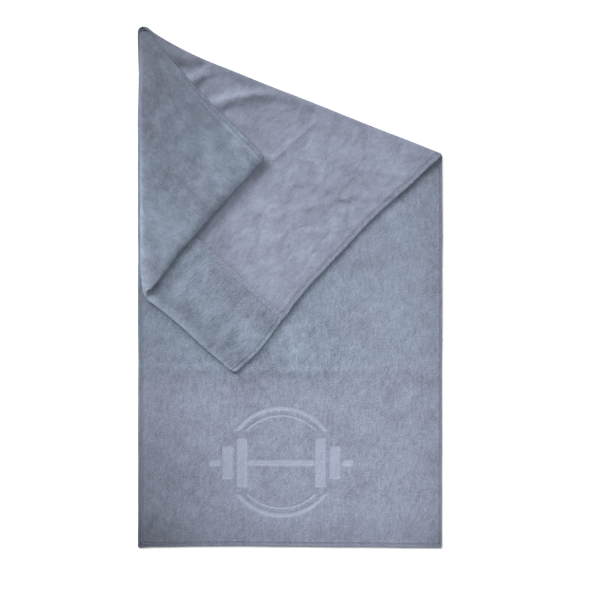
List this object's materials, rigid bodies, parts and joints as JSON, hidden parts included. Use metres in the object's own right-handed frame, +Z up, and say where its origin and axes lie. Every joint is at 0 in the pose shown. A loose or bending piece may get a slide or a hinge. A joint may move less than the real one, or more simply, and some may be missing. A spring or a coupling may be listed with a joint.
{
  "type": "towel",
  "caption": "Brushed microfibre sports towel with a hemmed hood pocket, lying with its head flap folded down across the front and the flap's corner turned back.",
  "frame": {"origin": "under the middle of the folded towel's bounding box, on the surface it lies on", "axes": "+X across the towel to the right, +Y from the foot hem to the head fold, +Z up out of the front face"},
  "size_m": [0.5, 0.852, 0.017],
  "materials": {
    "microfibre_front": "short brushed pile, matt with a soft sheen, blue-grey",
    "microfibre_rear": "short brushed pile, matt with a soft sheen, grey with a violet cast",
    "hem_cloth": "the same cloth pressed flat under the hem's thread, slightly darker",
    "sewing_thread": "matching polyester sewing thread, faint sheen"
  },
  "bodies": {
    "main": {"foot_panel": "microfibre_front", "foot_hem": "hem_cloth", "left_hem": "hem_cloth", "right_hem": "hem_cloth", "foot_stitching": "sewing_thread", "left_stitching": "sewing_thread", "right_stitching": "sewing_thread", "main_fold_lower": "microfibre_rear"},
    "flap": {"main_fold_upper": "microfibre_rear", "flap_panel": "microfibre_rear", "flap_side_hem": "hem_cloth", "flap_side_stitching": "sewing_thread", "hood_panel_flap": "microfibre_front", "hood_end_fold_flap": "microfibre_front", "hood_mouth_hem_flap": "hem_cloth", "hood_mouth_stitching_flap": "sewing_thread", "hood_side_stitching_flap": "sewing_thread", "corner_fold_lower": "microfibre_front", "hood_fold_lower": "microfibre_front"},
    "corner": {"corner_fold_upper": "microfibre_front", "hood_fold_upper": "microfibre_front", "corner_panel": "microfibre_front", "corner_side_hem": "hem_cloth", "corner_side_stitching": "sewing_thread", "hood_panel_corner": "microfibre_rear", "hood_end_fold_corner": "microfibre_front", "hood_mouth_hem_corner": "hem_cloth", "hood_mouth_stitching_corner": "sewing_thread"}
  },
  "joints": [
    {"name": "flap_fold", "type": "hinge", "parent": "main", "child": "flap", "pos_m": [-0.25, 0.426, 0.0027], "axis": [-0.9291, 0.3697, 0], "range_deg": [0, 180]},
    {"name": "corner_fold", "type": "hinge", "parent": "flap", "child": "corner", "pos_m": [-0.2465, 0.42461, 0.0062], "axis": [0.0036, -1, 0.0075], "range_deg": [0, 178.8]}
  ]
}
